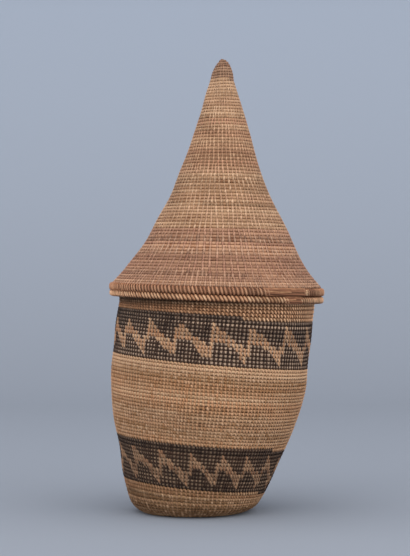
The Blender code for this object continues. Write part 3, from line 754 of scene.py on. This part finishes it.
def sewnMesh(name, template, row, width, tones, uneven, lean, seed, finish):
    # Lays the template on every place of the row, and returns one plain mesh
    holder = plainMesh(f"{name}_places", row.centre.tolist())
    axes = np.stack([row.along, row.up, row.out], -1)
    setValues(holder, "lay", [list(Matrix(axis.tolist()).to_quaternion()) for axis in axes], "QUATERNION")
    sizes = {"rowHeight": row.height, "rowDepth": row.depth, "width": width}
    for key, numbers in {**sizes, **tones}.items():
        setValues(holder, key, numbers)
    places = addObject(name, holder)
    modifier = places.modifiers.new("sewing", "NODES")
    modifier.node_group = sewing.tree
    given = {
        "Strand": template, "Width Spread": uneven[0], "Lean": lean, "Lean Spread": uneven[1],
        "Seed": seed, "Finish": finish,
    }
    for label, value in given.items():
        modifier[sewing.sockets[label]] = value
    bpy.context.view_layer.update()
    mesh = bpy.data.meshes.new_from_object(places.evaluated_get(bpy.context.evaluated_depsgraph_get()))
    mesh.name = name
    bpy.data.objects.remove(places)
    for extra in (*sizes, "lay"):
        if extra in mesh.attributes:
            mesh.attributes.remove(mesh.attributes[extra])
    mapCells(mesh, len(row.centre), len(template.data.polygons) // 3)
    return mesh


def mapCells(mesh, count, steps):
    # One small cell of the map for each strand, with its three sides one above the other
    side = math.ceil(math.sqrt(count))
    step, face = np.meshgrid(np.arange(steps), np.arange(3), indexing="ij")
    width, height = cellShare / steps, cellShare / 3
    cell = cellCorners(step * width, face * height, width, height).reshape(-1, 2)
    index = np.arange(count)
    at = np.stack([index % side, index // side], -1)
    bakeMap(mesh, (at[:, None] + cell[None]) / side)


basketSewing = {
    # stretch: distance between stitches, the strand's width as a share of it, and its lean in radians,
    # with the tops to the left as seen from outside
    "base": (0.0026, 0.76, 0.30),
    "foot": (0.00228, 0.76, 0.34),
    "lower_band": (0.00205, 0.72, 0.40),
    "belly": (0.00245, 0.78, 0.36),
    "upper_band": (0.00255, 0.66, 0.40),
    "neck": (0.0023, 0.62, 0.60),
}

lidSewing = {
    # radius of the row: value
    "distance": {
        0: 0.0013, 0.007: 0.0016, 0.017: 0.00198, 0.0266: 0.00246, 0.039: 0.00295,
        0.0526: 0.00363, 0.0636: 0.0036, 0.0757: 0.0030,
    },
    "width": {0: 0.0010, 0.017: 0.00140, 0.0266: 0.00172, 0.039: 0.0019, 0.0636: 0.0022, 0.0757: 0.0019},
    "lean": -0.08,
}

sewingHabits = {
    "new": 1.55,  # a gap this many stitches wide gets a new column
    "lost": 0.5,  # a column this close to the last one ends
    "evening": 0.18, "unsteady": 0.05,
    "leastRadius": 0.0012, "mostTurn": 0.2,  # near the middle stitches stay this far apart at most
    "samples": 100,  # for each turn
    "firstOnLid": 0.4, "untilNose": 1.2, "untilMouth": 0.5,  # turns left without stitches
    "seeds": {"basket": 21, "lid": 22},
}


def sewTurns(total, stepAt, seed):
    # Each stitch is set by the one a turn before it, so that the stitches stand in columns
    random = np.random.default_rng(seed)
    placed, back = [0.0], 0
    while placed[-1] < total:
        last = placed[-1]
        step = stepAt(last)
        if last < 1:
            placed.append(last + step)
            continue
        aim = placed[back] + 1
        gap = (aim - last) / step
        if gap < sewingHabits["lost"]:
            back += 1
        elif gap > sewingHabits["new"]:
            placed.append((last + aim) / 2)
        else:
            aim += sewingHabits["evening"] * (last + step - aim)
            placed.append(aim + random.normal(0, sewingHabits["unsteady"]) * step)
            back += 1
    return np.array(placed)


def sewCoil(body, first, last, distanceAt):
    # The turns at which stitches stand. The lid is sewn from its rim inwards, down to its first turn.
    samples, least = sewingHabits["samples"], sewingHabits["leastRadius"]
    table = np.arange(first, last + 2, 1 / samples)
    radii = coils[body].radiusAt(table)
    inwards = body == "lid"
    if inwards:
        radii = np.interp(last - (table - first), table, radii)

    def stepAt(travelled):
        radius = max(radii[min(int(travelled * samples), len(radii) - 1)], least)
        apart = float(distanceAt(first + travelled, radius))
        return min(apart / (fullTurn * radius), sewingHabits["mostTurn"])

    turns = sewTurns(last - first, stepAt, sewingHabits["seeds"][body])
    return (last - turns)[::-1] if inwards else first + turns


def basketSewn(turns, column):  # a column of the table above, at these turns
    ends = [span[1] for span in basketSpans.values()]
    stretch = np.minimum(np.searchsorted(ends, turns, "right"), len(ends) - 1)
    return np.array(list(basketSewing.values()))[stretch, column]


def lidSewn(radius, key):
    return np.interp(radius, list(lidSewing[key]), list(lidSewing[key].values()))


mouthTurn = basketSpans["neck"][1] - sewingHabits["untilMouth"]
noseTurn = lidSpans["lid_nose"][1] - sewingHabits["untilNose"]
basketTurns = sewCoil("basket", basketSpans["base"][0], mouthTurn,
                      lambda turn, radius: basketSewn(turn, 0))
lidTurns = sewCoil("lid", sewingHabits["firstOnLid"], noseTurn,
                   lambda turn, radius: lidSewn(radius, "distance"))
print("stitches:", len(basketTurns), "on the basket,", len(lidTurns), "on the lid")


def inSpan(turns, span):
    return (turns >= span[0]) & (turns < span[1])


toneHabits = {
    "spread": 0.28, "warmth": 0.5, "eachTone": 0.52, "eachWarmth": 0.12,
    "basket": (31, (40, 260)), "lid": (32, (20, 140)),  # seed, and how many stitches one strand makes
}


def strandTones(batch, seed, run, spread=toneHabits["spread"]):
    # A run of stitches is sewn with one strand and shares its colour
    random = np.random.default_rng(seed)
    count = len(batch)
    tone, warmth = np.empty(count), np.empty(count)
    start = 0
    while start < count:
        end = start + int(random.uniform(*run))
        tone[start:end] = random.normal(0, spread)
        warmth[start:end] = random.normal(0, toneHabits["warmth"])
        start = end
    return {
        "tone": tone + batch + random.normal(0, toneHabits["eachTone"], count),
        "warmth": warmth + random.normal(0, toneHabits["eachWarmth"], count),
        "own": random.uniform(size=count),
    }


paleRows = {"foot": 1.1, "belly": 0.7}  # the row just under a dark band is often paler
sideLight = {"neck": 1.3, "foot": 0.45}  # and painted light makes a stretch lighter on the side towards +X


# Paler rows under the dark bands, and painted light on the +X side of some stretches
def rowTonesAndSideLight(turns):
    lift = np.zeros(len(turns))
    for stretch, amount in paleRows.items():
        end = basketSpans[stretch][1]
        lift[inSpan(turns, (end - 1, end))] = amount
    for stretch, amount in sideLight.items():
        chosen = inSpan(turns, basketSpans[stretch])
        lift[chosen] += amount * np.cos(turns[chosen] * fullTurn)
    return lift


stitchTurns = {"basket": basketTurns, "lid": lidTurns}
stitchWidths = {
    "basket": basketSewn(basketTurns, 0) * basketSewn(basketTurns, 1),
    "lid": lidSewn(lidCoil.radiusAt(lidTurns), "width"),
}
stitchTones = {
    "basket": strandTones(basketCoil.batch(basketTurns) + rowTonesAndSideLight(basketTurns), *toneHabits["basket"]),
    "lid": strandTones(lidCoil.batch(lidTurns), *toneHabits["lid"]),
}


pieceSeeds = {"plain": 41, "dark": 51, "zigzag": 52, "lid": 61}


def sew(name, body, chosen, lean, look, nodes, seed, kind, broad=1.0):
    row = coils[body].frames(stitchTurns[body][chosen])
    tones = {key: values[chosen] for key, values in stitchTones[body].items()}
    mesh = sewnMesh(name, stitches[kind], row, stitchWidths[body][chosen] * broad, tones,
                    stitchUneven[body], lean, seed, strandFinishes[look])
    addPiece(mesh, body, nodes)
    print(name, len(row.centre), "stitches,", len(mesh.polygons) * 2, "triangles")


def dress(label, body, span, lean, look, nodes, kind, parts=1):
    # A stretch in one finish: its grass, then its stitches in one or more pieces
    addCore(f"{label}_grass", body, span, look, nodes)
    edges = np.linspace(*span, parts + 1)
    for number in range(parts):
        name = f"{label}_strand" if parts == 1 else f"{label}_strand_{number + 1}"
        chosen = inSpan(stitchTurns[body], edges[number:number + 2])
        sew(name, body, chosen, lean, look, nodes, pieceSeeds[kind] + number, kind)


basketPieces = {
    # stretch: look, nodes, the strand's slot, and how many pieces its stitches make
    "base": ("honey", ["base_start_coil", "base_disc", "base_heel"], "honey_strand", 1),
    "foot": ("honey", ["foot_band"], "honey_strand", 1),
    "belly": ("gold", ["belly_band"], "straw_strand", 2),
    "neck": ("light", ["neck_band"], "honey_strand", 1),
}

for stretch, (look, nodes, slot, parts) in basketPieces.items():
    lean = basketSewing[stretch][2]
    dress(stretch, "basket", basketSpans[stretch], lean, look, nodes, "plain", parts)


zigzagMargin = 0.0003  # a stitch this near to the zigzag is pale too
zigzagBroad = 1.2
bandLooks = {"lower_band": ("dim", "faded"), "upper_band": ("dark", "pale")}  # of grass and zigzag; the lower band's are darker copies, painted shade


def bandDyes(turns, nodes):
    # Which stitches of a dark band are sewn in pale strand: those on the zigzag's own ring
    row = basketCoil.frames(turns)
    crests = row.centre + row.out * row.depth[:, None]
    distances = []
    for name in nodes:
        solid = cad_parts[name].data
        faces = [tuple(face.vertices) for face in solid.polygons]
        tree = BVHTree.FromPolygons([vertex.co for vertex in solid.vertices], faces)
        distances.append([tree.find_nearest(Vector(point))[3] for point in crests])
    distances[0] = np.array(distances[0]) - zigzagMargin
    return np.argmin(distances, 0) == 0


for band, (grass, look) in bandLooks.items():
    zigzag, darkNodes = [f"{band}_zigzag"], [f"{band}_dark_lower", f"{band}_dark_upper"]
    addCore(f"{band}_grass", "basket", basketSpans[band], grass, darkNodes + zigzag, 0)
    inBand = inSpan(basketTurns, basketSpans[band])
    pale = np.zeros(len(basketTurns), bool)
    pale[inBand] = bandDyes(basketTurns[inBand], zigzag + darkNodes)
    lean = basketSewing[band][2]
    sew(f"{band}_dark_strand", "basket", inBand & ~pale, lean, "dark", darkNodes,
        pieceSeeds["dark"], "dark")
    sew(f"{band}_zigzag_strand", "basket", inBand & pale, lean, look, zigzag,
        pieceSeeds["zigzag"], "dark", zigzagBroad)

addBud("base_bud", basketSpans["base"][0], "honey", ["base_start_coil"])


lidLooks = {
    "lid_flare": "russet", "lid_russet": "russet", "lid_lower_straw": "straw",
    "lid_tan": "tan", "lid_upper_straw": "straw", "lid_nose": "brown",
}

for label, look in lidLooks.items():
    node = "lid_tip" if label == "lid_nose" else f"{label}_band"
    dress(label, "lid", lidSpans[label], lidSewing["lean"], look, [node], "lid")


ringCoils = {
    # height is above the rim's underside, half is half its thickness, droop is how much lower it hangs on
    # +X than on the axis, lean is that of its wraps, and worn are the angles between which it's bare
    "lid_rim_lower": {
        "radius": 0.0743, "height": 0.0036, "half": 0.0029, "droop": 0.0009,
        "wraps": 172, "lean": 0.62, "worn": (-49.5, -41.5),
        "look": "rimPale", "body": "lid", "slot": "rim_pale_strip",
        "nodes": ["lid_rim_lower_core", "lid_rim_lower_binding"],
    },
    "lid_rim_upper": {
        "radius": 0.0745, "height": 0.0086, "half": 0.0031, "droop": 0.0003,
        "wraps": 172, "lean": 0.30, "worn": (-62, -38),
        "look": "rimRed", "body": "lid", "slot": "rim_red_strip",
        "nodes": ["lid_rim_upper_core", "lid_rim_upper_binding"],
    },
    "mouth": {
        "radius": 0.0673, "height": 0.0119, "half": 0.0021, "droop": 0,
        "wraps": 200, "lean": 0.2, "worn": None,
        "look": "honey", "body": "basket", "slot": "honey_strand", "nodes": ["mouth_coil"],
    },
}

ringHabits = {
    "rings": 300, "perRow": 150,
    "core": 0.82, "blades": 15, "lobe": 0.06, "twist": 5, "lobeLift": (0.7, 0.3), "lobeTone": 0.3,
    "strip": 0.72, "unsteady": 0.06, "uneven": (0.08, 0.05), "toneRun": (10, 60), "toneSpread": 0.25,
    "seeds": (71, 72, 73),  # of places, tones and leans
    "step": 0.001,  # over which directions are taken
}
lidPlace = lidPlacer()


def ringFrames(ring, angle):
    zero, step = angle * 0, ringHabits["step"]
    radius, half = ring["radius"] + zero, ring["half"] + zero
    height = ring["height"] - ring["droop"] * np.cos(angle)
    centre = lidPlace(radius, height, zero, angle)
    up = unit(lidPlace(radius, height + step, zero, angle) - centre)
    out = unit(lidPlace(radius + step, height, zero, angle) - centre)
    return Row(centre, np.cross(up, out), up, out, half, half)


def addRing(name, ring):
    angle = ringAngles(ringHabits["rings"])
    row = ringFrames(ring, angle)
    thick = (row.depth * ringHabits["core"])[:, None]
    theta = ringAngles(ringHabits["blades"] * 3)
    lobes = np.cos(ringHabits["blades"] * theta + ringHabits["twist"] * angle[:, None])
    swell = squared(theta, wrapShape["squareness"]) * (1 + ringHabits["lobe"] * lobes)
    points = ringPoints(row.centre, row.up * thick, row.out * thick, theta, swell)
    # painted shade: darker towards the coil's top and bottom and in the hollows between its lobes
    lift, more = ringHabits["lobeLift"]
    values = {
        "around": theta,
        "length": (angle * ring["radius"])[:, None],
        "lift": np.sin(theta) ** 2 * (lift + more * lobes),
        "tone": ringHabits["lobeTone"] * lobes,
        "closed": 0,
    }
    mesh = tubeMesh(f"{name}_grass", points[None], values, grassFinishes["rim"], ringHabits["perRow"], True)
    addPiece(mesh, ring["body"], ring["nodes"])


def wrapRing(name, ring):
    placeSeed, toneSeed, leanSeed = ringHabits["seeds"]
    random = np.random.default_rng(placeSeed)
    wraps = ring["wraps"]
    unsteady = random.normal(0, ringHabits["unsteady"], wraps)
    angle = (np.arange(wraps) + unsteady) * fullTurn / wraps - math.pi
    if ring["worn"]:
        start, end = np.radians(ring["worn"])
        angle = angle[(angle < start) | (angle > end)]
    width = np.full(len(angle), ringHabits["strip"] * fullTurn * ring["radius"] / wraps)
    tones = strandTones(np.zeros(len(angle)), toneSeed, ringHabits["toneRun"], ringHabits["toneSpread"])
    mesh = sewnMesh(f"{name}_wraps", wrap, ringFrames(ring, angle), width, tones, ringHabits["uneven"],
                    ring["lean"], leanSeed, strandFinishes[ring["look"]])
    addPiece(mesh, ring["body"], ring["nodes"])
    print(name, len(angle), "wraps")


def bundleMesh(name, paths, outwards, thickness, sides, values, finish):
    # A thin tube along each path, all in one mesh. paths and outwards are (tubes, rings, 3).
    along = unit(np.gradient(paths, axis=1))
    sideways = unit(np.cross(along, outwards))
    reach = thickness[..., None]
    points = ringPoints(paths, sideways * reach, np.cross(sideways, along) * reach, ringAngles(sides))
    return tubeMesh(name, points, values, finish)


wornHabits = {
    "fibres": 13, "rings": 28, "sides": 6, "out": 0.76, "tucked": 0.05,
    "twist": 0.8, "astray": 0.2, "wave": (0.05, 9), "rough": 0.00006,
    "broken": (3, 9), "brokenAt": 0.55, "brokenSpread": 0.15, "lift": 0.0009, "liftPower": 6,
    "thickness": 0.00060, "thicker": (0.85, 1.2), "tip": 0.5,
    "around": 6, "length": 0.05, "shade": 0.85, "toneSpread": 0.8,  # how the grass finish runs over them
    "seed": 81,
}


def wornFibres(name, ring):
    # The bare grass of the worn stretch: each fibre runs on under the strip, but for a few broken ones
    habits = wornHabits
    start, end = np.radians(ring["worn"])
    random = np.random.default_rng(habits["seed"])
    fibres, rings = habits["fibres"], habits["rings"]
    reach = end - start + 2 * habits["tucked"]
    depth, pace = habits["wave"]
    ahead = np.linspace(0, 1, rings)
    paths, outs = [], []
    for number in range(fibres):
        broken = number in habits["broken"]
        spread = habits["brokenSpread"]
        share = habits["brokenAt"] + random.uniform(-spread, spread) if broken else 1.0
        angle = start - habits["tucked"] + reach * ahead * share
        theta = fullTurn * (number + random.uniform(-habits["astray"], habits["astray"])) / fibres
        theta = theta + habits["twist"] * (angle - start) + depth * np.sin(ahead * pace + number)
        row = ringFrames(ring, angle)
        side = row.up * np.cos(theta)[:, None] + row.out * np.sin(theta)[:, None]
        out = row.height * habits["out"] * squared(theta, wrapShape["squareness"])
        out = out + random.normal(0, habits["rough"]) + broken * habits["lift"] * ahead ** habits["liftPower"]
        paths.append(row.centre + side * out[:, None])
        outs.append(side)
    thickness = habits["thickness"] * random.uniform(*habits["thicker"], (fibres, 1)) * np.ones((1, rings))
    thickness[:, -1] *= habits["tip"]
    values = {
        "around": random.uniform(0, habits["around"], (fibres, 1, 1)),
        "length": np.linspace(0, habits["length"], rings)[:, None],
        "lift": habits["shade"],
        "tone": random.normal(0, habits["toneSpread"], (fibres, 1, 1)),
        "closed": 0,
    }
    mesh = bundleMesh(f"{name}_fibres", np.array(paths), np.array(outs), thickness, habits["sides"], values,
                      grassFinishes["bare"])
    addPiece(mesh, ring["body"], ring["nodes"])


knotShape = {
    "angle": -36.3, "across": 0.0010, "tall": 0.0017, "thickness": 0.00034, "rings": 26, "sides": 8,
    "bulge": 0.0006, "sunk": 0.0002, "tone": 0.4, "own": (0.1, 0.5, 0.8), "length": 3,
    "ends": [(1.3, -0.9, 1.0), (-1.1, -0.4, 0.6)],  # across, up and bulge of the two ends over the loop
}


def rimKnot(ring):
    # Where the strip starts again after the worn stretch, it's tied in a small loop
    rings = knotShape["rings"]
    turn = np.linspace(0, fullTurn, rings)
    ahead = np.linspace(-1, 1, rings)
    row = ringFrames(ring, np.full(rings, math.radians(knotShape["angle"])))
    face = row.centre + row.out * row.depth[:, None]
    bulge = knotShape["bulge"] * (1 - ahead**2) - knotShape["sunk"]
    strands = [(np.cos(turn), np.sin(turn), 0 * turn)]
    strands += [(wide * ahead, tall * ahead, share * bulge) for wide, tall, share in knotShape["ends"]]
    paths = np.array([
        face + row.along * (knotShape["across"] * wide)[:, None]
        + row.up * (knotShape["tall"] * tall)[:, None] + row.out * rise[:, None]
        for wide, tall, rise in strands
    ])
    values = {
        "tone": knotShape["tone"], "warmth": 0, "across": 0, "lift": 1.0,
        "own": np.array(knotShape["own"])[:, None, None],
        "length": np.linspace(0, knotShape["length"], rings)[:, None],
    }
    thickness = np.full((3, rings), knotShape["thickness"])
    mesh = bundleMesh("lid_rim_knot", paths, np.array([row.out] * 3), thickness, knotShape["sides"], values,
                      strandFinishes["knot"])
    addPiece(mesh, ring["body"], ring["nodes"])


for name, ring in ringCoils.items():
    addRing(name, ring)
    wrapRing(name, ring)
    if ring["worn"]:
        wornFibres(name, ring)
rimKnot(ringCoils["lid_rim_upper"])

for template in (*stitches.values(), wrap):
    bpy.data.objects.remove(template)


room = {
    "floor": shade(127, 133, 144),
    "wall": shade(147, 156, 171),
    "fade": 1.7,  # painted shade: how fast the darker floor colour turns into the wall's, per metre of height
    "halfWidth": 3.0, "front": -3.0, "back": 0.9, "bend": 0.7, "bendSteps": 24, "top": 3.2,
    "roughness": 0.9,
    "world": 1.16,
    "aim": 0.17,
    "lamps": {
        # lamp: where it hangs, how wide it is, and its power
        "above": ((-0.2, -0.6, 1.9), 3.0, 24.0),
        "left": ((-1.3, -1.5, 1.1), 1.6, 8.0),
        "right": ((1.5, -1.1, 0.6), 1.6, 13.5),
    },
}


def addRoom():
    bend = [
        (room["back"] + room["bend"] * math.sin(a), room["bend"] * (1 - math.cos(a)))
        for a in np.linspace(0, math.pi / 2, room["bendSteps"])
    ]
    profile = [(room["front"], 0.0), *bend, (room["back"] + room["bend"], room["top"])]
    points = [(x, y, z) for x in (-room["halfWidth"], room["halfWidth"]) for y, z in profile]
    count = len(profile)
    faces = [(i, count + i, count + i + 1, i + 1) for i in range(count - 1)]
    mesh = plainMesh("sweep", points, faces)
    mesh.shade_smooth()
    finish = Finish("paper_sweep", room["roughness"])
    # painted shade: the sweep darkens towards the floor
    share = (finish.height() * room["fade"]).cut()
    finish.feed(finish.shader.inputs["Base Color"], finish.mixed(share, room["floor"], room["wall"]))
    mesh.materials.append(finish.material)
    addObject("sweep", mesh)

    world = bpy.data.worlds.new("room")
    bpy.context.scene.world = world
    world.use_nodes = True
    light = world.node_tree.nodes["Background"].inputs
    light["Strength"].default_value = room["world"]
    light["Color"].default_value = (1, 1, 1, 1)
    for name, (at, size, power) in room["lamps"].items():
        lamp = bpy.data.lights.new(name, "AREA")
        lamp.size = size
        lamp.energy = power
        holder = addObject(name, lamp)
        holder.location = at
        aim = Vector((0, 0, room["aim"])) - holder.location
        holder.rotation_euler = aim.to_track_quat("-Z", "Y").to_euler()


cameraSetup = {"at": (-0.0082, -1.270, 0.1795), "down": 0.52, "lens": 113.96, "sensor": 36.0, "near": 0.05}


def addCamera():
    data = bpy.data.cameras.new("camera")
    data.sensor_fit = "VERTICAL"
    data.sensor_height = cameraSetup["sensor"]
    data.lens = cameraSetup["lens"]
    data.clip_start = cameraSetup["near"]
    camera = addObject("camera", data)
    camera.location = cameraSetup["at"]
    camera.rotation_euler = (math.radians(90 - cameraSetup["down"]), 0, 0)
    bpy.context.scene.camera = camera


addRoom()
addCamera()
bpy.context.scene.view_settings.view_transform = "Standard"
